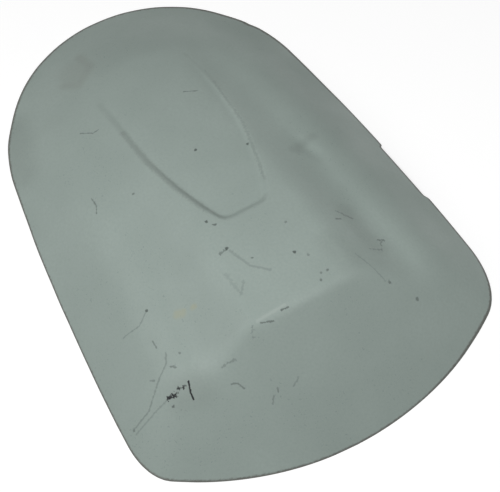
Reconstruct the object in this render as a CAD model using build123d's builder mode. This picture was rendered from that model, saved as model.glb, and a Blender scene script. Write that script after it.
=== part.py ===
from build123d import *
import math
import os

# Seat cowl: a one-piece moulded shell with a central spine, soft shoulders and a sunk top panel.

# Overall form, in mm. X runs from the tail to the front, Y across, Z up from the rim.
half_length = 168.5
crown_height = 63.4
wall = 2.8

# Rim line in plan: a round tail running into long side arcs, and a bowed front.
tail_radius = 102.5
side_taper = 0.176
side_radius = 1440.0
front_radius = 194.5

# Centre line from the tail up to the flat behind the front ridge.
flat_start = 109.5
rise_root = 188.0
rise_power = 2.0

# Skirt, as rise per mm in from the rim, bowed out a little along the sides.
skirt_at_tail = 0.517
skirt_at_side = 1.01
skirt_turn_start = -160.0
skirt_turn_length = 156.0
skirt_bow = 0.002

# Shoulder line, straight in plan, and the spine wall that sweeps up inside it.
shoulder_half = 60.7
shoulder_taper = 0.095
shoulder_width = 14.6
shoulder_fall = 0.233
shoulder_round = 6.9
shoulder_end = -150.0
shoulder_fade = 70.0
spine_inset = 18.5
spine_sweep = 17.2
sweep_taper = 0.035
spine_camber = 4.6
camber_reach = 40.0
crease_round = 1.0

# Front face and the ridge above it, tight in the middle and soft at the corners.
front_rise = 0.9
ridge_round = 8.0
corner_round = 9.0
corner_reach = 100.0
ridge_filling = 3.0

# Sunk panel on top, tipped so that it runs out at the tail.
panel_front = 26.2
panel_tail = -104.0
panel_front_half = 11.8
panel_middle_half = 26.2
panel_tail_half = 29.0
panel_corner = 6.0
panel_depth = 3.0
panel_draft = 45.0
panel_runout = 8.0
panel_bite = 5.0

# Hand-trimmed relief in the rim on one side.
relief_start = 5.0
relief_end = 53.0
relief_height = 2.5

# How far the lofted plugs run past the rim before they are trimmed, and how slopes are read off them.
plug_floor = -120.0
plug_run_out = 36.5
slope_step = 4.0

# Rim line at its widest, where the side arc runs along the length.
side_back = (side_radius - tail_radius) / math.hypot(side_taper, 1.0)
half_width = side_radius - side_back

# Where the profiles lie across the half width, and where their points lie along the tail and the ridge.
row_shares = (0.13, 0.25, 0.35, 0.44, 0.53, 0.62, 0.71, 0.80, 0.885, 0.97, 1.108)
tail_shares = (0.0, 0.13, 0.26, 0.40, 0.58, 0.80)
ridge_gaps = (-0.70, -0.44, -0.25, -0.12, 0.0, 0.12, 0.25, 0.46, 0.80, 1.26)


def smooth_step(t):
    """Ease from 0 to 1."""
    t = min(max(t, 0.0), 1.0)
    return t * t * (3.0 - 2.0 * t)


def soft_least(a, b, width):
    """Lesser of two heights with a rounded change-over."""
    near = max(width - abs(a - b), 0.0) / width
    return min(a, b) - near * near * width / 4.0


def rim_distance(x, y):
    """Distance in from the tail arc and the side arc that runs on from it."""
    centre = tail_radius - half_length
    if (x - centre) + y * side_taper < 0.0:
        return tail_radius - math.hypot(x - centre, y)
    return side_radius - math.hypot(x - centre - side_back * side_taper, y + side_back)


def skirt_height(x, y):
    """Sloping skirt, shallow at the tail and steeper along the sides."""
    turn = smooth_step((x - skirt_turn_start) / skirt_turn_length)
    rise = skirt_at_tail + (skirt_at_side - skirt_at_tail) * turn
    inward = rim_distance(x, y)
    return (rise - skirt_bow * turn * inward) * inward


def centre_height(x):
    """Height of the spine along the centre line."""
    share = max(flat_start - x, 0.0) / (flat_start + rise_root)
    return crown_height * (1.0 - share**rise_power)


def outer_height(x, side, softening=0.0):
    """Height of the moulded outside at a point in plan, the ridge made softer if wanted."""
    y = math.hypot(side, crease_round)
    shoulder = shoulder_half + shoulder_taper * x
    edge = shoulder + shoulder_width
    spine = centre_height(x) - spine_camber * (y / camber_reach) ** 2
    shelf = skirt_height(x, edge) + shoulder_fall * (edge - y)
    shelf = spine + (shelf - spine) * smooth_step((x - shoulder_end) / shoulder_fade)
    inside = shoulder - spine_inset - y
    sweep = smooth_step(0.5 + inside / (2.0 * (spine_sweep + sweep_taper * x)))
    top = shelf + (spine - shelf) * sweep
    hill = soft_least(top, skirt_height(x, y), shoulder_round)
    front = front_radius - math.hypot(x - (half_length - front_radius), y)
    ridge = ridge_round + softening + corner_round * (y / corner_reach) ** 2
    return soft_least(hill, front_rise * front, ridge)


def skin_height(x, y, inset):
    """Height of a skin lying an even distance inside the outside, filled at the ridge."""
    step = slope_step
    slope_x = (outer_height(x + step, y) - outer_height(x - step, y)) / (2.0 * step)
    slope_y = (outer_height(x, y + step) - outer_height(x, y - step)) / (2.0 * step)
    moulded = outer_height(x, y, inset * ridge_filling)
    return moulded - inset * math.sqrt(1.0 + slope_x**2 + slope_y**2)


def profile_points(y, inset):
    """Points of one lengthwise profile, closer together over the front ridge."""
    ridge = half_length - crown_height / front_rise - 0.233 * y * y / front_radius
    ridge_run = [ridge + gap * crown_height for gap in ridge_gaps]
    start = -half_length - plug_run_out
    tail_run = [start + (ridge_run[0] - start) * share for share in tail_shares]
    return [(x, skin_height(x, y, inset)) for x in tail_run + ridge_run]


def profile_shares():
    """Share of the centre profile's length at each of its points, the same for every profile."""
    run = profile_points(0.0, 0.0)
    lengths = [math.dist(a, b) for a, b in zip(run, run[1:])]
    return [sum(lengths[:count]) / sum(lengths) for count in range(len(run))]


def plug(inset):
    """Solid block under one skin, lofted across the width from lengthwise profiles."""
    half = [half_width * share for share in row_shares]
    rows = [-y for y in reversed(half)] + [0] + half
    shares = profile_shares()
    with BuildPart() as block:
        for y in rows:
            with BuildSketch(Plane.XZ.offset(-y)):
                with BuildLine():
                    points = profile_points(y, inset)
                    add(Edge.make_spline([Vector(x, z) for x, z in points], parameters=shares))
                    start = points[0]
                    end = points[-1]
                    Polyline(end, (end[0], plug_floor), (start[0], plug_floor), start)
                make_face()
        loft()
    return block.part


panel_rise = math.degrees(
    math.atan2(centre_height(panel_front) - centre_height(panel_tail), panel_front - panel_tail)
)
panel_plane = Plane(
    origin=(panel_front, 0, centre_height(panel_front)),
    x_dir=(math.cos(math.radians(panel_rise)), 0, math.sin(math.radians(panel_rise))),
    z_dir=(-math.sin(math.radians(panel_rise)), 0, math.cos(math.radians(panel_rise))),
)
panel_length = (panel_front - panel_tail) / math.cos(math.radians(panel_rise))
panel_tip = math.degrees(math.atan2(panel_depth, panel_front - panel_tail + panel_runout))
panel_end = panel_tail - panel_runout
panel_hinge = Axis((panel_end, 0, centre_height(panel_end)), (0, 1, 0))


def panel_wedge(sink):
    """Draughted plug whose outline is the sunk panel, lowered for the inner skin."""
    with BuildPart() as wedge:
        with BuildSketch(panel_plane.offset(-sink)) as outline:
            with BuildLine():
                front = Line((0, -panel_front_half), (0, panel_front_half))
                middle = -0.52 * panel_length
                ThreePointArc(front @ 1, (middle, panel_middle_half), (-panel_length, panel_tail_half))
                Line((-panel_length, panel_tail_half), (-panel_length, -panel_tail_half))
                ThreePointArc((-panel_length, -panel_tail_half), (middle, -panel_middle_half), front @ 0)
            make_face()
            fillet(outline.vertices().group_by(Axis.X)[-1], panel_corner)
        extrude(amount=panel_bite + 4.0 * panel_depth, taper=-panel_draft)
    return wedge.part


def sunk(block, sink):
    """Block with the panel let into its top."""
    floor = block.rotate(panel_hinge, panel_tip)
    return block - (panel_wedge(sink) - floor)


with BuildPart() as seat_cowl:
    add(sunk(plug(0.0), panel_bite))
    add(sunk(plug(wall), panel_bite + wall), mode=Mode.SUBTRACT)
    split(bisect_by=Plane.XY, keep=Keep.TOP)
    with Locations(((relief_start + relief_end) / 2, half_width, 0)):
        Box(relief_end - relief_start, half_width / 2, 2.0 * relief_height, mode=Mode.SUBTRACT)

seat_cowl.part.label = "seat_cowl"
os.makedirs("parts", exist_ok=True)
export_step(seat_cowl.part, "parts/seat_cowl.step")
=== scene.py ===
import logging
import math
from dataclasses import dataclass, field
from enum import Enum
from typing import Any

import bmesh
import bpy
from mathutils import Matrix, Vector, noise


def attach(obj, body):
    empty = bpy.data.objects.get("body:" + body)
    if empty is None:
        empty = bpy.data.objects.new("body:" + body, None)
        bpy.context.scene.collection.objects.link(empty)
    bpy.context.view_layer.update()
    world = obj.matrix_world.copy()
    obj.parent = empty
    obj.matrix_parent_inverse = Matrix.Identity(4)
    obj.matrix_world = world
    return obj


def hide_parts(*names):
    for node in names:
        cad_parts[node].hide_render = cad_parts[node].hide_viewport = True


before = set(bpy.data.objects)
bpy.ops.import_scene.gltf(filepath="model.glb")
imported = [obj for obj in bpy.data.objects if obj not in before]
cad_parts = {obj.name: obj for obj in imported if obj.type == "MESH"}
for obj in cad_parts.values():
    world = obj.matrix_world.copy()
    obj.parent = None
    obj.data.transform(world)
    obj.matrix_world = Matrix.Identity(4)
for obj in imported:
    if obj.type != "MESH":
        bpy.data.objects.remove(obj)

log = logging.getLogger("seat_cowl")
MM = 0.001
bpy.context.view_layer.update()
ABOVE_RIM = "above_rim"


def linear(code: str) -> tuple[float, float, float, float]:
    """Turns an sRGB hex value into a linear colour.

    Args:
        code: six hex digits with a leading hash.

    Returns:
        Red, green, blue and an alpha of 1.
    """
    parts = [int(code[i:i + 2], 16) / 255.0 for i in (1, 3, 5)]
    red, green, blue = [p / 12.92 if p <= 0.04045 else ((p + 0.055) / 1.055) ** 2.4 for p in parts]
    return red, green, blue, 1.0


def per_size(size_mm: float) -> float:
    """Texture scale whose pattern repeats at a real size in millimetres."""
    return 1.0 / (size_mm * MM)


def smooth_step(t: float) -> float:
    """Eases from 0 to 1."""
    t = min(max(t, 0.0), 1.0)
    return t * t * (3.0 - 2.0 * t)


def soft_least(a: float, b: float, width: float) -> float:
    """Lesser of two values with a rounded change-over of a given width."""
    near = max(width - abs(a - b), 0.0) / width
    return min(a, b) - near * near * width / 4.0


def add_node(tree: bpy.types.NodeTree, kind: str, inputs: dict[Any, Any] | None = None,
             **settings: Any) -> bpy.types.Node:
    """Adds one node with its settings, values and links.

    Args:
        tree: node tree that gets the node.
        kind: Blender's name of the node type.
        inputs: a value, or an output socket to link, for each input by name or number.
        settings: the node's own properties.

    Returns:
        The new node.
    """
    node = tree.nodes.new(kind)
    for name, value in settings.items():
        setattr(node, name, value)
    for key, value in (inputs or {}).items():
        if isinstance(value, bpy.types.NodeSocket):
            tree.links.new(value, node.inputs[key])
        else:
            node.inputs[key].default_value = value
    return node


def new_material(name: str) -> tuple[bpy.types.Material, bpy.types.NodeTree]:
    """Starts a material with an empty node tree.

    Args:
        name: the real material and how it was made.

    Returns:
        The material and its tree.
    """
    material = bpy.data.materials.new(name)
    material.use_nodes = True
    material.node_tree.nodes.clear()
    return material, material.node_tree


def outward(bearing: float, elevation: float) -> Vector:
    """Direction from the cowl to a bearing and an elevation, in degrees."""
    turn, lift = math.radians(bearing), math.radians(elevation)
    return Vector((math.cos(lift) * math.cos(turn), math.cos(lift) * math.sin(turn), math.sin(lift)))


class Layer(Enum):
    """Faces of the shell, in the order of its material slots."""

    GELCOAT = 0
    SAWN_EDGE = 1
    LAMINATE = 2


class MarkKind(Enum):
    """Kinds of wear on the gelcoat, with painted shade and a painted highlight among them."""

    RUBBER = "rubber"
    CRACK = "crack"
    SCRATCH = "scratch"
    # Painted shade along the sunk panel's walls, with some grime in it.
    WALL_SHADE_AND_GRIME = "rub"
    BROWN = "brown"
    YELLOW = "yellow"
    # Painted highlight along the front ridge.
    PAINTED_HIGHLIGHT = "pale"
    # Broad painted shade in the crease, the groove and at the panel walls, with some soft smudges.
    SHADE_AND_SMUDGE = "smudge"

    @property
    def broad(self) -> bool:
        """Whether the wear is wide and soft enough to be laid on the points of the mesh."""
        return self in (MarkKind.SHADE_AND_SMUDGE, MarkKind.BROWN)

    @property
    def layer(self) -> str:
        """Name of the mesh attribute that holds broad wear or painted shade of this kind."""
        return f"wear_{self.value}"


@dataclass(frozen=True)
class Mark:
    """One line or spot of wear, painted shade or painted highlight on the skin, placed in plan, in
    millimetres.
    """

    kind: MarkKind
    path: tuple[tuple[float, float], ...]
    width: float
    soft: float = 0.6
    weight: float = 0.6
    ragged: float = 0.4

    def runs(self) -> list[tuple[tuple[float, float], tuple[float, float]]]:
        """Straight runs that the mark is drawn with, one without length for a spot."""
        return list(zip(self.path, self.path[1:])) or [(self.path[0], self.path[0])]

    def cover(self, x: float, y: float) -> float:
        """How strongly the mark covers a point.

        Args:
            x: place along the length.
            y: place across.

        Returns:
            The mark's weight on it, 0 away from it.
        """
        near = math.inf
        for (start_x, start_y), (end_x, end_y) in self.runs():
            ahead, aside = end_x - start_x, end_y - start_y
            whole = max(ahead * ahead + aside * aside, 1e-6)
            share = min(max(((x - start_x) * ahead + (y - start_y) * aside) / whole, 0.0), 1.0)
            near = min(near, math.hypot(x - start_x - share * ahead, y - start_y - share * aside))
        return self.weight * smooth_step((self.width / 2 + self.soft - near) / self.soft)


WEAR_AND_PAINTED_LIGHT: tuple[Mark, ...] = (
    Mark(MarkKind.RUBBER, ((98.6, -90.6), (99.8, -87.0)), 0.9, 0.8, 1.0, 2.4),
    Mark(MarkKind.RUBBER, ((98.2, -84.0), (99.4, -81.2)), 0.7, 0.7, 0.95, 1.5),
    Mark(MarkKind.RUBBER, ((104.3, -90.8),), 0.7, 0.7, 0.6, 0.8),
    Mark(MarkKind.RUBBER, ((98.5, -77.6), (103.7, -79.3), (107.7, -79.6)), 0.6, 0.5, 1.0, 0.4),
    Mark(MarkKind.CRACK, ((76.6, -80.3), (81.8, -82.6), (87.2, -90.9), (96.8, -103.0), (98.6, -114.5)),
         0.3, 0.7, 0.3),
    Mark(MarkKind.CRACK, ((99.3, -91.0), (99.9, -100.5), (101.7, -114.2)), 0.3, 0.7, 0.24),
    Mark(MarkKind.CRACK, ((98.6, -114.3),), 0.7, 1.1, 0.45, 0.8),
    Mark(MarkKind.CRACK, ((86.0, 39.3), (106.0, 47.6)), 0.25, 0.6, 0.2),
    Mark(MarkKind.SCRATCH, ((48.3, -77.1), (53.1, -84.5), (51.3, -94.5)), 0.25, 0.6, 0.3),
    Mark(MarkKind.SCRATCH, ((48.3, -77.1),), 1.2, 0.6, 0.85),
    Mark(MarkKind.SCRATCH, ((66.1, -83.0), (70.6, -82.9)), 0.4, 0.5, 0.5),
    Mark(MarkKind.SCRATCH, ((85.2, -81.4), (86.8, -80.0)), 0.3, 0.7, 0.5, 1.6),
    Mark(MarkKind.SCRATCH, ((81.6, -73.9),), 0.7, 0.7, 0.5),
    Mark(MarkKind.SCRATCH, ((83.7, -94.3), (85.4, -92.6)), 0.4, 0.6, 0.4),
    Mark(MarkKind.SCRATCH, ((103.0, -58.0), (104.0, -50.3)), 0.25, 0.6, 0.32, 0.9),
    Mark(MarkKind.SCRATCH, ((112.4, -57.7), (113.6, -54.8), (117.7, -52.4)), 0.25, 0.5, 0.5),
    Mark(MarkKind.SCRATCH, ((25.3, -24.0),), 1.1, 0.7, 0.85),
    Mark(MarkKind.SCRATCH, ((29.3, -21.8), (30.1, -20.6)), 0.7, 0.6, 0.7),
    Mark(MarkKind.SCRATCH, ((47.4, -23.4),), 1.3, 0.7, 0.9),
    Mark(MarkKind.SCRATCH, ((47.4, -23.4), (48.2, -27.8)), 0.6, 0.7, 0.5, 1.0),
    Mark(MarkKind.SCRATCH, ((49.5, -22.6), (64.0, -17.8), (72.9, -9.4)), 0.6, 0.9, 0.22),
    Mark(MarkKind.SCRATCH, ((60.7, -14.1),), 0.8),
    Mark(MarkKind.SCRATCH, ((69.8, 8.2),), 1.1, 0.7, 0.85),
    Mark(MarkKind.SCRATCH, ((75.3, 14.2),), 0.9, 0.8, 0.4),
    Mark(MarkKind.SCRATCH, ((49.7, 14.4),), 0.9, 0.8, 0.45),
    Mark(MarkKind.SCRATCH, ((88.9, 14.1),), 0.8, 0.7, 0.5),
    Mark(MarkKind.SCRATCH, ((88.9, 18.4),), 0.9, 0.7, 0.6),
    Mark(MarkKind.SCRATCH, ((107.0, 49.8),), 0.9, 0.7, 0.6),
    Mark(MarkKind.SCRATCH, ((92.9, 11.6),), 0.9),
    Mark(MarkKind.SCRATCH, ((61.0, -31.7), (73.3, -31.2)), 0.6, 1.4, 0.13, 1.0),
    Mark(MarkKind.SCRATCH, ((70.5, -25.6), (77.0, -31.2)), 0.5, 0.9, 0.2, 0.8),
    Mark(MarkKind.SCRATCH, ((97.4, -16.8), (97.9, -12.6)), 0.45, 0.5, 0.7, 0.5),
    Mark(MarkKind.SCRATCH, ((97.5, -30.4), (100.1, -23.5)), 0.25, 0.5, 0.6, 0.5),
    Mark(MarkKind.SCRATCH, ((96.5, -35.0), (101.1, -37.6)), 0.4, 0.8, 0.3, 1.2),
    Mark(MarkKind.SCRATCH, ((53.0, 46.7), (60.3, 54.0)), 0.3, 0.8, 0.35, 0.8),
    Mark(MarkKind.SCRATCH, ((59.1, 43.5), (59.5, 46.1)), 0.6, 0.7, 0.5),
    Mark(MarkKind.SCRATCH, ((78.4, 60.3), (79.8, 64.0)), 0.35, 0.6, 0.5, 0.9),
    Mark(MarkKind.SCRATCH, ((80.4, 61.9), (85.8, 58.2)), 0.3, 0.6, 0.4, 0.9),
    Mark(MarkKind.SCRATCH, ((84.0, 51.4), (85.7, 57.5)), 0.25, 0.6, 0.3, 0.8),
    Mark(MarkKind.SCRATCH, ((119.0, 62.7),), 1.3, 0.9, 0.6),
    Mark(MarkKind.SCRATCH, ((126.5, -35.7), (128.1, -36.3)), 0.4, 0.6, 0.5, 0.6),
    Mark(MarkKind.SCRATCH, ((128.7, -39.2), (131.3, -42.0)), 0.25, 0.6, 0.35, 0.6),
    Mark(MarkKind.SCRATCH, ((129.8, -27.4), (127.9, -23.1)), 0.25, 0.7, 0.3, 0.7),
    Mark(MarkKind.SCRATCH, ((-81.0, -53.0), (-75.8, -46.6), (-75.8, -42.9)), 0.25, 0.5, 0.5),
    Mark(MarkKind.SCRATCH, ((-34.7, -69.4), (-28.4, -69.2), (-23.8, -71.7)), 0.25, 0.5, 0.55),
    Mark(MarkKind.SCRATCH, ((-69.6, 13.4), (-65.8, 21.1)), 0.25, 0.5, 0.5),
    Mark(MarkKind.SCRATCH, ((-24.5, -3.4),), 1.1, 0.7, 0.85),
    Mark(MarkKind.SCRATCH, ((-12.4, 25.4),), 1.1, 0.7, 0.85),
    Mark(MarkKind.SCRATCH, ((-20.5, -48.0),), 0.8),
    # Painted shade along the left wall of the sunk panel, with some grime in it.
    Mark(MarkKind.SHADE_AND_SMUDGE, ((-92.0, -34.0), (-62.0, -32.6)), 1.2, 2.4, 0.1),
    Mark(MarkKind.WALL_SHADE_AND_GRIME, ((-62.0, -32.6), (-34.7, -31.6)), 1.6, 2.4, 0.2, 0.6),
    Mark(MarkKind.WALL_SHADE_AND_GRIME, ((-34.7, -31.6), (-8.0, -27.2), (17.2, -20.1)), 1.8, 2.2, 0.24, 0.6),
    Mark(MarkKind.WALL_SHADE_AND_GRIME, ((17.2, -20.1), (28.6, -14.0)), 1.4, 1.8, 0.15, 0.6),
    # Painted shade along the right wall of the sunk panel, with some grime in it.
    Mark(MarkKind.SHADE_AND_SMUDGE, ((-100.0, 31.5), (-68.0, 34.0)), 0.6, 1.6, 0.12),
    Mark(MarkKind.WALL_SHADE_AND_GRIME, ((-68.0, 34.0), (-30.0, 31.9), (-5.0, 26.0), (16.5, 20.0)), 0.4, 1.1, 0.2, 0.8),
    Mark(MarkKind.SHADE_AND_SMUDGE, ((-117.6, -83.0), (-86.0, -93.0)), 6.0, 14.0, 0.14),
    Mark(MarkKind.SHADE_AND_SMUDGE, ((102.0, -84.0), (104.5, -75.0)), 5.0, 13.0, 0.14),
    # Painted shade in the crease across the right shoulder band.
    Mark(MarkKind.SHADE_AND_SMUDGE, ((1.7, 48.5), (-0.8, 57.1), (-3.6, 66.7)), 1.4, 3.6, 0.14),
    Mark(MarkKind.SHADE_AND_SMUDGE, ((2.5, 51.5),), 2.6, 4.0, 0.16),
    # Painted shade along the groove inside the right shoulder band, with some dirt in it.
    Mark(MarkKind.SHADE_AND_SMUDGE, ((53.9, 53.3), (71.7, 53.9), (83.1, 56.4)), 4.0, 7.0, 0.12),
    Mark(MarkKind.SHADE_AND_SMUDGE, ((73.0, 30.4), (90.8, 32.7)), 6.0, 9.0, 0.1),
    Mark(MarkKind.BROWN, ((-125.0, -42.6), (-118.0, -36.0), (-127.2, -23.2), (-141.0, -24.0)),
         1.6, 5.0, 0.24),
    Mark(MarkKind.BROWN, ((-130.0, -32.0),), 12.0, 9.0, 0.16),
    Mark(MarkKind.YELLOW, ((61.3, -63.8), (62.2, -61.0)), 2.2, 2.4, 0.5, 1.0),
    Mark(MarkKind.YELLOW, ((63.7, -54.5),), 1.8, 1.8, 0.6, 0.8),
    # Painted highlight along the crest of the front ridge.
    Mark(MarkKind.PAINTED_HIGHLIGHT, ((95.9, -31.5), (95.7, -14.0)), 0.3, 1.3, 0.22, 0.8),
)


@dataclass(frozen=True)
class Gelcoat:
    """Unpainted polyester gelcoat, moulded against a waxed tool and dulled by handling.

    It gives an even grey-green with a broad, soft sheen, faint clouding and fine grit.
    """

    name: str = "unpainted_gelcoat_moulded"
    body: str = "#9DAAA4"
    cloud: str = "#99A6A0"
    rubber: str = "#15181A"
    crack: str = "#3E4542"
    scratch: str = "#4A524F"
    # Colour of the painted shade in the panel walls, crease and groove, and of some grime there.
    rub: str = "#545752"
    brown: str = "#7E8078"
    yellow: str = "#A6A88E"
    # Colour of the painted highlight along the front ridge.
    pale: str = "#C2CAC4"
    # Dark of the sawn rim, also used for the painted shade along the foot of the skin.
    sawn: str = "#544E49"
    ior: float = 1.5
    specular: float = 0.25
    roughness_low: float = 0.42
    roughness_high: float = 0.58
    cloud_mm: float = 48.0
    cloud_range: tuple[float, float] = (0.35, 0.65)
    sheen_range: tuple[float, float] = (0.3, 0.7)
    grit_mm: float = 1.6
    grit_range: tuple[float, float] = (0.25, 0.75)
    grit_shade: float = 0.05
    grit_bump: float = 0.15
    grit_depth_mm: float = 0.08
    ripple_mm: float = 9.0
    ripple_bump: float = 0.12
    ripple_depth_mm: float = 0.4
    crack_bump: float = 0.5
    crack_depth_mm: float = 0.3
    fray: float = 4.0
    dust: float = 0.25
    dust_patches: tuple[float, float] = (0.45, 0.6)
    dust_grains: tuple[float, float] = (0.6, 0.68)
    # Dark band along the foot of the skin: partly the sawn rim's dark, partly painted shade where the shell
    # meets the floor, widened towards +Y, the shaded side.
    rim_band_mm: tuple[float, float] = (1.1, 0.4)
    rim_ragged_mm: float = 1.2
    rim_cover: float = 0.75
    shade_widening_mm: float = 0.6
    shade_widening_across_mm: tuple[float, float] = (40.0, 100.0)
    marks: tuple[Mark, ...] = WEAR_AND_PAINTED_LIGHT

    def stroke_group(self) -> bpy.types.NodeTree:
        """Makes the node group that draws one stroke from its two ends.

        Returns:
            A group with a Mask output that is 1 on the stroke and 0 away from it.
        """
        tree = bpy.data.node_groups.new("wear_stroke", "ShaderNodeTree")
        for label in ("Place", "Start", "End"):
            tree.interface.new_socket(label, in_out="INPUT", socket_type="NodeSocketVector")
        for label in ("Half", "Soft", "Weight", "Ragged", "Grit"):
            tree.interface.new_socket(label, in_out="INPUT", socket_type="NodeSocketFloat")
        tree.interface.new_socket("Mask", in_out="OUTPUT", socket_type="NodeSocketFloat")
        given = add_node(tree, "NodeGroupInput").outputs
        flat = add_node(tree, "ShaderNodeVectorMath", {0: given["Place"], 1: (1, 1, 0)}, operation="MULTIPLY")
        out = add_node(tree, "ShaderNodeVectorMath", {0: flat.outputs[0], 1: given["Start"]},
                       operation="SUBTRACT")
        run = add_node(tree, "ShaderNodeVectorMath", {0: given["End"], 1: given["Start"]},
                       operation="SUBTRACT")
        along = add_node(tree, "ShaderNodeVectorMath", {0: out.outputs[0], 1: run.outputs[0]},
                         operation="DOT_PRODUCT")
        whole = add_node(tree, "ShaderNodeVectorMath", {0: run.outputs[0], 1: run.outputs[0]},
                         operation="DOT_PRODUCT")
        share = add_node(tree, "ShaderNodeMath", {0: along.outputs["Value"], 1: whole.outputs["Value"]},
                         operation="DIVIDE", use_clamp=True)
        foot = add_node(tree, "ShaderNodeVectorMath", {0: run.outputs[0], "Scale": share.outputs[0]},
                        operation="SCALE")
        away = add_node(tree, "ShaderNodeVectorMath", {0: out.outputs[0], 1: foot.outputs[0]},
                        operation="DISTANCE")
        rough = add_node(tree, "ShaderNodeMath",
                         {0: given["Grit"], 1: given["Ragged"], 2: away.outputs["Value"]},
                         operation="MULTIPLY_ADD")
        edge = add_node(tree, "ShaderNodeMath", {0: given["Half"], 1: given["Soft"]}, operation="ADD")
        mask = add_node(tree, "ShaderNodeMapRange",
                        {"Value": rough.outputs[0], "From Min": edge.outputs[0], "From Max": given["Half"],
                         "To Min": 0.0, "To Max": given["Weight"]}, interpolation_type="SMOOTHSTEP")
        add_node(tree, "NodeGroupOutput", {"Mask": mask.outputs[0]})
        return tree

    def masks(self, tree: bpy.types.NodeTree, place: bpy.types.NodeSocket,
              grain: bpy.types.NodeSocket) -> dict[MarkKind, bpy.types.NodeSocket]:
        """Draws all the wear, painted shade and painted highlight, broad from the mesh's attributes and fine
        from strokes.

        Args:
            tree: node tree of the material.
            place: Object coordinates.
            grain: grit about 0, which frays the strokes.

        Returns:
            For each kind of mark an output that is above 0 where it lies.
        """
        found = {kind: add_node(tree, "ShaderNodeAttribute", attribute_name=kind.layer).outputs["Fac"]
                 for kind in MarkKind if kind.broad}
        stroke = self.stroke_group()
        fine = [mark for mark in self.marks if not mark.kind.broad]
        for mark, start, end in [(mark, *run) for mark in fine for run in mark.runs()]:
            drawn = add_node(tree, "ShaderNodeGroup", node_tree=stroke)
            values = {"Start": (*[p * MM for p in start], 0.0), "End": (*[p * MM for p in end], 0.0),
                      "Half": mark.width * MM / 2, "Soft": mark.soft * MM, "Weight": mark.weight,
                      "Ragged": self.fray * mark.ragged * MM}
            for label, value in values.items():
                drawn.inputs[label].default_value = value
            tree.links.new(place, drawn.inputs["Place"])
            tree.links.new(grain, drawn.inputs["Grit"])
            mask = drawn.outputs["Mask"]
            if mark.kind in found:
                mask = add_node(tree, "ShaderNodeMath", {0: found[mark.kind], 1: mask},
                                operation="MAXIMUM").outputs[0]
            found[mark.kind] = mask
        return found

    def rim_dirt_and_shade_line(self, tree: bpy.types.NodeTree, place: bpy.types.NodeSocket,
                 grain: bpy.types.NodeSocket) -> bpy.types.NodeSocket:
        """Draws the dark line along the foot of the skin: partly what the saw left on the rim, partly painted
        shade where the shell meets the floor, widened towards +Y on the shaded side.

        Args:
            tree: node tree of the material.
            place: Object coordinates.
            grain: grit about 0, which frays the line.

        Returns:
            An output that is above 0 along the rim.
        """
        split = add_node(tree, "ShaderNodeSeparateXYZ", {0: place})
        shade_widened = add_node(tree, "ShaderNodeMapRange",
                          {"Value": split.outputs["Y"], "From Min": self.shade_widening_across_mm[0] * MM,
                           "From Max": self.shade_widening_across_mm[1] * MM,
                           "To Min": 0.0, "To Max": self.shade_widening_mm * MM})
        above = add_node(tree, "ShaderNodeAttribute", attribute_name=ABOVE_RIM).outputs["Fac"]
        height = add_node(tree, "ShaderNodeMath", {0: above, 1: shade_widened.outputs[0]}, operation="SUBTRACT")
        ragged = add_node(tree, "ShaderNodeMath",
                          {0: grain, 1: self.rim_ragged_mm * MM, 2: height.outputs[0]},
                          operation="MULTIPLY_ADD")
        return add_node(tree, "ShaderNodeMapRange",
                        {"Value": ragged.outputs[0], "From Min": self.rim_band_mm[0] * MM,
                         "From Max": self.rim_band_mm[1] * MM, "To Max": self.rim_cover}).outputs[0]

    def build(self) -> bpy.types.Material:
        """Makes the gelcoat material.

        Returns:
            A material that reads the piece's own Object coordinates.
        """
        material, tree = new_material(self.name)
        place = add_node(tree, "ShaderNodeTexCoord").outputs["Object"]
        clouds = add_node(tree, "ShaderNodeTexNoise",
                          {"Vector": place, "Scale": per_size(self.cloud_mm), "Detail": 4.0,
                           "Roughness": 0.55})
        grit = add_node(tree, "ShaderNodeTexNoise",
                        {"Vector": place, "Scale": per_size(self.grit_mm), "Detail": 3.0, "Roughness": 0.6})
        ripple = add_node(tree, "ShaderNodeTexNoise",
                          {"Vector": place, "Scale": per_size(self.ripple_mm), "Detail": 2.0})
        shade = add_node(tree, "ShaderNodeMapRange",
                         {"Value": clouds.outputs["Fac"], "From Min": self.cloud_range[0],
                          "From Max": self.cloud_range[1]})
        colour = add_node(tree, "ShaderNodeMix",
                          {0: shade.outputs[0], 6: linear(self.body), 7: linear(self.cloud)},
                          data_type="RGBA").outputs[2]
        speck = add_node(tree, "ShaderNodeMapRange",
                         {"Value": grit.outputs["Fac"], "From Min": self.grit_range[0],
                          "From Max": self.grit_range[1],
                          "To Min": 1.0 - self.grit_shade, "To Max": 1.0 + self.grit_shade})
        colour = add_node(tree, "ShaderNodeVectorMath", {0: colour, "Scale": speck.outputs[0]},
                          operation="SCALE").outputs[0]
        grain = add_node(tree, "ShaderNodeMath", {0: grit.outputs["Fac"], 1: 0.5},
                         operation="SUBTRACT").outputs[0]
        # Masks of the real wear and of the painted shade and painted highlight.
        wear = self.masks(tree, place, grain)
        patches = add_node(tree, "ShaderNodeMapRange",
                           {"Value": clouds.outputs["Fac"], "From Min": self.dust_patches[0],
                            "From Max": self.dust_patches[1], "To Max": self.dust})
        dust = add_node(tree, "ShaderNodeMapRange",
                        {"Value": grit.outputs["Fac"], "From Min": self.dust_grains[0],
                         "From Max": self.dust_grains[1], "To Max": patches.outputs[0]})
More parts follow.
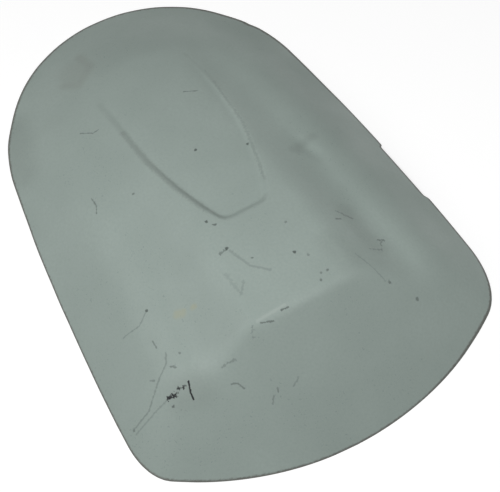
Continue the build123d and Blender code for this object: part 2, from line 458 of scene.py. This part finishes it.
        # Over the body go stains, wear and dust, the painted shade in the panel walls, crease and groove, the
        # painted highlight on the front ridge, and the rim's dark band with its painted shade.
        cover = [(wear[MarkKind.BROWN], self.brown), (wear[MarkKind.YELLOW], self.yellow),
                 (wear[MarkKind.PAINTED_HIGHLIGHT], self.pale), (wear[MarkKind.SHADE_AND_SMUDGE], self.rub),
                 (wear[MarkKind.WALL_SHADE_AND_GRIME], self.rub), (wear[MarkKind.SCRATCH], self.scratch),
                 (wear[MarkKind.CRACK], self.crack), (wear[MarkKind.RUBBER], self.rubber),
                 (dust.outputs[0], self.scratch), (self.rim_dirt_and_shade_line(tree, place, grain), self.sawn)]
        for mask, tone in cover:
            colour = add_node(tree, "ShaderNodeMix", {0: mask, 6: colour, 7: linear(tone)},
                              data_type="RGBA").outputs[2]
        sheen = add_node(tree, "ShaderNodeMapRange",
                         {"Value": clouds.outputs["Fac"], "From Min": self.sheen_range[0],
                          "From Max": self.sheen_range[1],
                          "To Min": self.roughness_low, "To Max": self.roughness_high})
        wave = add_node(tree, "ShaderNodeBump",
                        {"Height": ripple.outputs["Fac"], "Strength": self.ripple_bump,
                         "Distance": self.ripple_depth_mm * MM})
        peel = add_node(tree, "ShaderNodeBump",
                        {"Height": grit.outputs["Fac"], "Strength": self.grit_bump,
                         "Distance": self.grit_depth_mm * MM, "Normal": wave.outputs[0]})
        groove = add_node(tree, "ShaderNodeBump",
                          {"Height": wear[MarkKind.CRACK], "Strength": self.crack_bump,
                           "Distance": self.crack_depth_mm * MM, "Normal": peel.outputs[0]}, invert=True)
        shader = add_node(tree, "ShaderNodeBsdfPrincipled",
                          {"Base Color": colour, "Roughness": sheen.outputs[0], "IOR": self.ior,
                           "Specular IOR Level": self.specular, "Normal": groove.outputs[0]})
        add_node(tree, "ShaderNodeOutputMaterial", {"Surface": shader.outputs[0]})
        return material


@dataclass(frozen=True)
class SawnEdge:
    """Raw sawn edge of a glass fibre laminate: dull, dusty and darker than the gelcoat."""

    name: str = "sawn_glass_fibre_edge"
    dark: str = "#4E5651"
    pale: str = "#8B8F84"
    roughness: float = 0.85
    ply_mm: float = 0.9
    ply_bump: float = 0.6
    ply_depth_mm: float = 0.2

    def build(self) -> bpy.types.Material:
        """Makes the edge material.

        Returns:
            A material that reads the piece's own Object coordinates.
        """
        material, tree = new_material(self.name)
        place = add_node(tree, "ShaderNodeTexCoord").outputs["Object"]
        plies = add_node(tree, "ShaderNodeTexNoise",
                         {"Vector": place, "Scale": per_size(self.ply_mm), "Detail": 3.0})
        colour = add_node(tree, "ShaderNodeMix",
                          {0: plies.outputs["Fac"], 6: linear(self.dark), 7: linear(self.pale)},
                          data_type="RGBA")
        bump = add_node(tree, "ShaderNodeBump",
                        {"Height": plies.outputs["Fac"], "Strength": self.ply_bump,
                         "Distance": self.ply_depth_mm * MM})
        shader = add_node(tree, "ShaderNodeBsdfPrincipled",
                          {"Base Color": colour.outputs[2], "Roughness": self.roughness,
                           "Normal": bump.outputs[0]})
        add_node(tree, "ShaderNodeOutputMaterial", {"Surface": shader.outputs[0]})
        return material


@dataclass(frozen=True)
class ChoppedStrand:
    """Inside of a hand-laid chopped strand laminate: resin-wet strands lying every way over each other."""

    name: str = "chopped_strand_laminate_hand_laid"
    resin: str = "#7C8272"
    strand: str = "#A3A796"
    shadow: str = "#666C5E"
    roughness: float = 0.55
    strand_width_mm: float = 1.1
    strand_length_mm: float = 32.0
    strand_range: tuple[float, float] = (0.52, 0.68)
    strand_bump: float = 0.7
    strand_depth_mm: float = 0.35
    strand_cover: float = 0.7
    pool_mm: float = 22.0
    turns: tuple[float, ...] = (0.2, 0.95, 1.7, 2.5)

    def build(self) -> bpy.types.Material:
        """Makes the laminate material from strand patterns turned four ways.

        Returns:
            A material that reads the piece's own Object coordinates.
        """
        material, tree = new_material(self.name)
        place = add_node(tree, "ShaderNodeTexCoord").outputs["Object"]
        length, width = self.strand_length_mm * MM, self.strand_width_mm * MM
        top: bpy.types.NodeSocket | None = None
        for turn in self.turns:
            turned = add_node(tree, "ShaderNodeMapping",
                              {"Vector": place, "Rotation": (0, 0, turn), "Scale": (length, width, length)},
                              vector_type="TEXTURE")
            strand = add_node(tree, "ShaderNodeTexNoise",
                              {"Vector": turned.outputs[0], "Scale": 1.0, "Detail": 1.0, "Distortion": 0.3})
            line = add_node(tree, "ShaderNodeMapRange",
                            {"Value": strand.outputs["Fac"], "From Min": self.strand_range[0],
                             "From Max": self.strand_range[1]})
            top = line.outputs[0] if top is None else add_node(
                tree, "ShaderNodeMath", {0: top, 1: line.outputs[0]}, operation="MAXIMUM").outputs[0]
        pools = add_node(tree, "ShaderNodeTexNoise",
                         {"Vector": place, "Scale": per_size(self.pool_mm), "Detail": 3.0})
        base = add_node(tree, "ShaderNodeMix",
                        {0: pools.outputs["Fac"], 6: linear(self.shadow), 7: linear(self.resin)},
                        data_type="RGBA")
        seen = add_node(tree, "ShaderNodeMath", {0: top, 1: self.strand_cover}, operation="MULTIPLY")
        colour = add_node(tree, "ShaderNodeMix",
                          {0: seen.outputs[0], 6: base.outputs[2], 7: linear(self.strand)}, data_type="RGBA")
        bump = add_node(tree, "ShaderNodeBump",
                        {"Height": top, "Strength": self.strand_bump,
                         "Distance": self.strand_depth_mm * MM})
        shader = add_node(tree, "ShaderNodeBsdfPrincipled",
                          {"Base Color": colour.outputs[2], "Roughness": self.roughness,
                           "Normal": bump.outputs[0]})
        add_node(tree, "ShaderNodeOutputMaterial", {"Surface": shader.outputs[0]})
        return material


@dataclass(frozen=True)
class SunkPanel:
    """Shallow panel let into the spine, deepest at its front, in millimetres."""

    front: float = 29.6
    run_out: float = -112.0
    half: float = 32.2
    narrow_from: float = -60.0
    narrowing: float = 0.00222
    front_depth: float = 3.4
    wall: float = 4.4
    corner: float = 6.0

    def sink(self, x: float, y: float) -> float:
        """Depth of the panel below the spine at a point in plan.

        Args:
            x: place along the length.
            y: place across.

        Returns:
            Depth, 0 outside the panel.
        """
        past = max(x - self.narrow_from, 0.0)
        lean = 2.0 * self.narrowing * past
        side = (self.half - self.narrowing * past * past - abs(y)) / math.hypot(1.0, lean)
        inside = soft_least(side, self.front - x, self.corner)
        depth = self.front_depth * max(x - self.run_out, 0.0) / (self.front - self.run_out)
        return depth * smooth_step(0.5 + inside / self.wall)


@dataclass(frozen=True)
class Dent:
    """One shallow dent or crease, longer than it is wide, in millimetres."""

    middle: tuple[float, float]
    run: tuple[float, float]
    width: float
    depth: float

    def sink(self, x: float, y: float) -> float:
        """Depth of the dent at a point in plan.

        Args:
            x: place along the length.
            y: place across.

        Returns:
            Depth, fading to 0 away from the dent.
        """
        length = math.hypot(*self.run)
        ahead = ((x - self.middle[0]) * self.run[0] + (y - self.middle[1]) * self.run[1]) / length
        aside = ((y - self.middle[1]) * self.run[0] - (x - self.middle[0]) * self.run[1]) / length
        return self.depth * math.exp(-((2.0 * ahead / length) ** 2) - (2.0 * aside / self.width) ** 2)


@dataclass(frozen=True)
class TrimLine:
    """Hand-sawn rim: a relief on one side, a nick and a slight wander, in millimetres."""

    relief: tuple[float, float] = (5.0, 53.0)
    relief_height: float = 2.5
    relief_ease: float = 3.0
    relief_from: float = 60.0
    wander: float = 0.35
    wander_length: float = 23.0
    wander_seed: float = 4.0
    nicks: tuple[tuple[float, float, float, float], ...] = ((-115.0, 86.0, 5.0, 0.8),)

    def rise(self, x: float, y: float) -> float:
        """Height of the sawn rim above the plane it stands on.

        Args:
            x: place along the length.
            y: place across.

        Returns:
            Height, never below 0.
        """
        middle = (self.relief[0] + self.relief[1]) / 2
        inside = (self.relief[1] - self.relief[0]) / 2 - abs(x - middle)
        cut = self.relief_height * smooth_step(inside / self.relief_ease) if y > self.relief_from else 0.0
        spot = Vector((x / self.wander_length, y / self.wander_length, self.wander_seed))
        wave = self.wander * max(noise.noise(spot), 0.0)
        bites = [deep * smooth_step(1.0 - math.hypot(x - u, y - v) / wide) for u, v, wide, deep in self.nicks]
        return max([cut, wave, *bites])


@dataclass
class CowlForm:
    """Moulded form of the cowl as a height over the plan, in millimetres."""

    half_length: float = 168.5
    crown: float = 63.4
    tail_radius: float = 102.5
    side_taper: float = 0.176
    side_radius: float = 1440.0
    front_radius: float = 194.5
    flat_start: float = 109.5
    rise_root: float = 188.0
    skirt_at_tail: float = 0.517
    skirt_at_side: float = 1.01
    skirt_bow: float = 0.002
    skirt_turn: tuple[float, float] = (-160.0, 156.0)
    shoulder_half: float = 60.7
    shoulder_taper: float = 0.095
    shoulder_width: float = 14.6
    shoulder_fall: float = 0.233
    shoulder_round: float = 6.9
    shoulder_fade: tuple[float, float] = (-150.0, 70.0)
    spine_inset: float = 18.5
    spine_sweep: float = 17.2
    sweep_taper: float = 0.035
    spine_camber: float = 4.6
    camber_reach: float = 40.0
    crease_round: float = 1.0
    front_rise: float = 0.9
    front_hollow: float = 0.03
    near_ease: float = 0.13
    near_ease_at: tuple[float, float] = (25.0, 42.0)
    ridge_round: float = 3.0
    corner_round: tuple[float, float] = (8.0, 12.5)
    corner_reach: float = 100.0
    unevenness: float = 0.25
    uneven_length: float = 55.0
    panel: SunkPanel = field(default_factory=SunkPanel)
    dents: tuple[Dent, ...] = (Dent((4.0, 59.0), (19.4, 6.4), 9.0, 1.3),)

    def __post_init__(self) -> None:
        """Works out the centres that the rim arcs turn about."""
        self.tail_centre = self.tail_radius - self.half_length
        self.side_back = (self.side_radius - self.tail_radius) / math.hypot(self.side_taper, 1.0)
        self.side_centre = self.tail_centre + self.side_back * self.side_taper

    def rim_distance(self, x: float, y: float) -> float:
        """Distance in from the tail arc and the side arc that runs on from it.

        Args:
            x: place along the length.
            y: place across, 0 or more.

        Returns:
            Distance, below 0 outside the rim.
        """
        if (x - self.tail_centre) + y * self.side_taper < 0.0:
            return self.tail_radius - math.hypot(x - self.tail_centre, y)
        return self.side_radius - math.hypot(x - self.side_centre, y + self.side_back)

    def rim_half(self, x: float, margin: float) -> float:
        """Half width of the rim line, let out by a margin.

        Args:
            x: place along the length.
            margin: how far the line is let out.

        Returns:
            Half width at that place.
        """
        tail = self.tail_radius + margin
        side = self.side_radius + margin
        on_side = math.sqrt(side * side - (x - self.side_centre) ** 2) - self.side_back
        if (x - self.tail_centre) + on_side * self.side_taper >= 0.0:
            return on_side
        return math.sqrt(max(tail * tail - (x - self.tail_centre) ** 2, 0.0))

    def skirt(self, x: float, y: float) -> float:
        """Height of the sloping skirt, shallow at the tail and steeper along the sides.

        Args:
            x: place along the length.
            y: place across, 0 or more.

        Returns:
            Height over the rim plane, below 0 outside the rim.
        """
        turn = smooth_step((x - self.skirt_turn[0]) / self.skirt_turn[1])
        rise = self.skirt_at_tail + (self.skirt_at_side - self.skirt_at_tail) * turn
        inward = self.rim_distance(x, y)
        return (rise - self.skirt_bow * turn * inward) * inward

    def moulded(self, x: float, side: float) -> float:
        """Height of the moulded outside without the panel.

        Args:
            x: place along the length.
            side: place across.

        Returns:
            Height over the rim plane, below 0 outside the rim.
        """
        y = math.hypot(side, self.crease_round)
        shoulder = self.shoulder_half + self.shoulder_taper * x
        edge = shoulder + self.shoulder_width
        share = max(self.flat_start - x, 0.0) / (self.flat_start + self.rise_root)
        spine = self.crown * (1.0 - share * share) - self.spine_camber * (y / self.camber_reach) ** 2
        shelf = self.skirt(x, edge) + self.shoulder_fall * (edge - y)
        shelf = spine + (shelf - spine) * smooth_step((x - self.shoulder_fade[0]) / self.shoulder_fade[1])
        reach = self.spine_sweep + self.sweep_taper * x
        sweep = smooth_step(0.5 + (shoulder - self.spine_inset - y) / (2.0 * reach))
        hill = soft_least(shelf + (spine - shelf) * sweep, self.skirt(x, y), self.shoulder_round)
        front = self.front_radius - math.hypot(x - (self.half_length - self.front_radius), y)
        corner = self.corner_round[0] if side < 0.0 else self.corner_round[1]
        ridge = self.ridge_round + corner * (y / self.corner_reach) ** 2
        hollow = 1.0 - self.front_hollow * (1.0 - self.front_rise * front / self.crown)
        ease = self.near_ease * smooth_step((-side - self.near_ease_at[0]) / self.near_ease_at[1])
        return soft_least(hill, self.front_rise * front * hollow * (1.0 - ease), ridge)

    def height(self, x: float, y: float) -> float:
        """Height of the outside with its panel, dents and slight unevenness.

        Args:
            x: place along the length.
            y: place across.

        Returns:
            Height over the rim plane, below 0 outside the rim.
        """
        wave = self.unevenness * noise.noise(Vector((x / self.uneven_length, y / self.uneven_length, 0.0)))
        lost = self.panel.sink(x, y) + sum(dent.sink(x, y) for dent in self.dents)
        return self.moulded(x, y) - lost + wave - self.unevenness


@dataclass
class CowlShell:
    """The one-piece shell: outside, sawn rim and laminate inside, in millimetres and degrees."""

    form: CowlForm = field(default_factory=CowlForm)
    trim: TrimLine = field(default_factory=TrimLine)
    gelcoat: Gelcoat = field(default_factory=Gelcoat)
    edge: SawnEdge = field(default_factory=SawnEdge)
    laminate: ChoppedStrand = field(default_factory=ChoppedStrand)
    node: str = "seat_cowl"
    wall: float = 2.8
    margin: float = 9.0
    tail_turn: float = 50.0
    corner_x: float = 131.0
    rows: int = 270
    columns: int = 150
    crowding: float = 0.3
    weave: float = 0.18
    weave_length: float = 7.0
    saw_reach: float = 0.01

    def spread(self, u: float, w: float) -> tuple[float, float]:
        """Carries a point of a square grid to the plan of the cowl.

        Args:
            u: -1 at the tail to 1 at the front.
            w: -1 to 1 across.

        Returns:
            Place along the length and across, in millimetres.
        """
        form = self.form
        t = (u + 1.0) / 2.0
        reach = form.half_length + self.margin
        centre = -reach + 2.0 * reach * t
        tail = form.tail_centre - (form.tail_radius + self.margin) * math.cos(math.radians(self.tail_turn))
        side_x = tail + (self.corner_x - tail) * t
        across = w * (1.0 - self.crowding) + self.crowding * w**3
        return centre + (side_x - centre) * across * across, form.rim_half(side_x, self.margin) * across

    def skin(self) -> bmesh.types.BMesh:
        """Shapes a square grid into the outside of the cowl, run on past the rim.

        Returns:
            The open skin, with its normals outwards.
        """
        mesh = bmesh.new()
        bmesh.ops.create_grid(mesh, x_segments=self.rows, y_segments=self.columns, size=1.0)
        for vert in mesh.verts:
            x, y = self.spread(vert.co.x, vert.co.y)
            vert.co = Vector((x, y, self.form.height(x, y))) * MM
        bmesh.ops.recalc_face_normals(mesh, faces=mesh.faces[:])
        return mesh

    def thicken(self, mesh: bmesh.types.BMesh) -> None:
        """Gives the skin its wall, inwards, and roughens the laminate side a little.

        Args:
            mesh: the open skin, which is changed.
        """
        outside = set(mesh.verts)
        for face in mesh.faces:
            face.material_index = Layer.GELCOAT.value
        bmesh.ops.solidify(mesh, geom=mesh.faces[:], thickness=self.wall * MM)
        mesh.normal_update()
        for vert in mesh.verts:
            if vert not in outside:
                vert.co += vert.normal * self.weave * MM * noise.noise(vert.co / (self.weave_length * MM))
        for face in mesh.faces:
            if not any(vert in outside for vert in face.verts):
                face.material_index = Layer.LAMINATE.value

    def saw(self, mesh: bmesh.types.BMesh) -> None:
        """Saws the shell off along its trim line, closes the cut and notes each point's height over it.

        Args:
            mesh: the walled shell, which is changed.
        """
        above = mesh.verts.layers.float.new(ABOVE_RIM)
        for vert in mesh.verts:
            vert.co.z -= self.trim.rise(vert.co.x / MM, vert.co.y / MM) * MM
        everything = mesh.verts[:] + mesh.edges[:] + mesh.faces[:]
        cut = bmesh.ops.bisect_plane(mesh, geom=everything, dist=self.saw_reach * MM, plane_co=(0, 0, 0),
                                     plane_no=(0, 0, 1), clear_inner=True)
        edges = [e for e in cut["geom_cut"] if isinstance(e, bmesh.types.BMEdge)]
        filled = bmesh.ops.triangle_fill(mesh, use_beauty=True, use_dissolve=False, edges=edges)
        for face in filled["geom"]:
            if isinstance(face, bmesh.types.BMFace):
                face.material_index = Layer.SAWN_EDGE.value
        for vert in mesh.verts:
            vert[above] = vert.co.z
            rise = self.trim.rise(vert.co.x / MM, vert.co.y / MM) * MM
            vert.co.z = max(vert.co.z + rise, 0.0)

    def soil(self, mesh: bmesh.types.BMesh) -> None:
        """Lays the broad, soft wear and painted shade on the points of the mesh, for the gelcoat to read.

        Args:
            mesh: the sawn shell, which gets an attribute for each broad kind of wear.
        """
        for kind in [kind for kind in MarkKind if kind.broad]:
            marks = [mark for mark in self.gelcoat.marks if mark.kind is kind]
            layer = mesh.verts.layers.float.new(kind.layer)
            for vert in mesh.verts:
                vert[layer] = max(mark.cover(vert.co.x / MM, vert.co.y / MM) for mark in marks)

    def build(self) -> bpy.types.Object:
        """Makes the finished shell and puts it in the place of the CAD node.

        Returns:
            The shell object.
        """
        mesh = self.skin()
        self.thicken(mesh)
        self.saw(mesh)
        self.soil(mesh)
        for face in mesh.faces:
            face.smooth = face.material_index != Layer.SAWN_EDGE.value
        for edge in mesh.edges:
            edge.smooth = len({face.material_index for face in edge.link_faces}) == 1
        data = bpy.data.meshes.new("cowl_shell")
        mesh.to_mesh(data)
        mesh.free()
        for finish in (self.gelcoat, self.edge, self.laminate):
            data.materials.append(finish.build())
        piece = bpy.data.objects.new("cowl_shell", data)
        bpy.context.scene.collection.objects.link(piece)
        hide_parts(self.node)
        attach(piece, "root")
        return piece


@dataclass(frozen=True)
class SoftLamp:
    """Large round diffuser, placed by its bearing from the cowl, in millimetres and degrees."""

    name: str
    bearing: float
    elevation: float
    power: float
    away: float
    size: float = 400.0

    def hang(self) -> bpy.types.Object:
        """Hangs the lamp so that it faces the cowl.

        Returns:
            The lamp object.
        """
        out = outward(self.bearing, self.elevation)
        data = bpy.data.lights.new(self.name, "AREA")
        data.shape = "DISK"
        data.size = self.size * MM
        data.energy = self.power
        item = bpy.data.objects.new(self.name, data)
        item.location = out * self.away * MM
        item.rotation_euler = (-out).to_track_quat("-Z", "Y").to_euler()
        bpy.context.scene.collection.objects.link(item)
        return item


@dataclass
class Studio:
    """Pale floor, soft light and the camera, in millimetres and degrees."""

    look_at: tuple[float, float, float] = (15.514, 0.0, 0.0)
    distance: float = 1028.09
    turn: float = -30.05
    elevation: float = 61.76
    lens: float = 120.98
    sensor: float = 36.0
    clip_end: float = 50000.0
    shift: tuple[float, float] = (0.0319, -0.0185)
    floor_size: float = 6000.0
    floor_gap: float = 0.05
    floor_tone: str = "#A8A8A8"
    floor_glow: float = 0.72
    ambient: float = 0.255
    lamps: tuple[SoftLamp, ...] = (
        SoftLamp("key_lamp", -83.7, 47.8, 1.07, 675.0),
        SoftLamp("tail_lamp", -108.4, 46.5, 0.83, 689.0),
        SoftLamp("fill_lamp", 31.0, 59.8, 1.02, 579.0),
    )

    def camera(self) -> bpy.types.Object:
        """Puts the camera at the photograph's viewing angle.

        Returns:
            The camera object.
        """
        back = outward(self.turn, self.elevation)
        right = Vector((0, 0, 1)).cross(back).normalized()
        up = back.cross(right)
        data = bpy.data.cameras.new("camera")
        data.lens = self.lens
        data.sensor_width = self.sensor
        data.shift_x, data.shift_y = self.shift
        data.clip_end = self.clip_end * MM
        eye = (Vector(self.look_at) + back * self.distance) * MM
        item = bpy.data.objects.new("camera", data)
        item.matrix_world = Matrix.Translation(eye) @ Matrix((right, up, back)).transposed().to_4x4()
        bpy.context.scene.collection.objects.link(item)
        bpy.context.scene.camera = item
        return item

    def seen(self, tree: bpy.types.NodeTree) -> bpy.types.NodeSocket:
        """Adds a value that is 1 for what is looked at, mirrored or seen through.

        Args:
            tree: node tree that gets the nodes.

        Returns:
            The output with that value.
        """
        path = add_node(tree, "ShaderNodeLightPath").outputs
        gloss = add_node(tree, "ShaderNodeMath", {0: path["Is Camera Ray"], 1: path["Is Glossy Ray"]},
                         operation="MAXIMUM")
        return add_node(tree, "ShaderNodeMath", {0: gloss.outputs[0], 1: path["Is Transmission Ray"]},
                        operation="MAXIMUM").outputs[0]

    def floor(self) -> bpy.types.Object:
        """Lays a plain pale floor that keeps a soft shadow.

        Returns:
            The floor object.
        """
        mesh = bmesh.new()
        bmesh.ops.create_grid(mesh, x_segments=1, y_segments=1, size=self.floor_size * MM / 2)
        bmesh.ops.translate(mesh, verts=mesh.verts[:], vec=(0, 0, -self.floor_gap * MM))
        data = bpy.data.meshes.new("floor")
        mesh.to_mesh(data)
        mesh.free()
        material, tree = new_material("pale_studio_floor")
        glow = add_node(tree, "ShaderNodeMath", {0: self.seen(tree), 1: self.floor_glow},
                        operation="MULTIPLY")
        light = add_node(tree, "ShaderNodeEmission", {"Color": (1, 1, 1, 1), "Strength": glow.outputs[0]})
        matt = add_node(tree, "ShaderNodeBsdfDiffuse", {"Color": linear(self.floor_tone)})
        both = add_node(tree, "ShaderNodeAddShader", {0: light.outputs[0], 1: matt.outputs[0]})
        add_node(tree, "ShaderNodeOutputMaterial", {"Surface": both.outputs[0]})
        data.materials.append(material)
        item = bpy.data.objects.new("floor", data)
        bpy.context.scene.collection.objects.link(item)
        return item

    def lights(self) -> None:
        """Hangs the soft lamps in an even, pale surround."""
        world = bpy.data.worlds.new("surround")
        bpy.context.scene.world = world
        world.use_nodes = True
        tree = world.node_tree
        tree.nodes.clear()
        strength = add_node(tree, "ShaderNodeMapRange",
                            {"Value": self.seen(tree), "To Min": self.ambient, "To Max": 1.0})
        sky = add_node(tree, "ShaderNodeBackground", {"Color": (1, 1, 1, 1), "Strength": strength.outputs[0]})
        add_node(tree, "ShaderNodeOutputWorld", {"Surface": sky.outputs[0]})
        for lamp in self.lamps:
            lamp.hang()

    def build(self) -> None:
        """Sets up floor, light, camera and plain colour handling."""
        self.floor()
        self.lights()
        self.camera()
        bpy.context.scene.view_settings.view_transform = "Standard"


def main() -> None:
    """Builds the shell and the studio and reports each piece."""
    logging.basicConfig(level=logging.INFO, format="%(message)s")
    piece = CowlShell().build()
    log.info("%s: %d faces", piece.name, len(piece.data.polygons))
    Studio().build()
    log.info("studio: floor, lamps and camera")


if __name__ == "__main__":
    main()
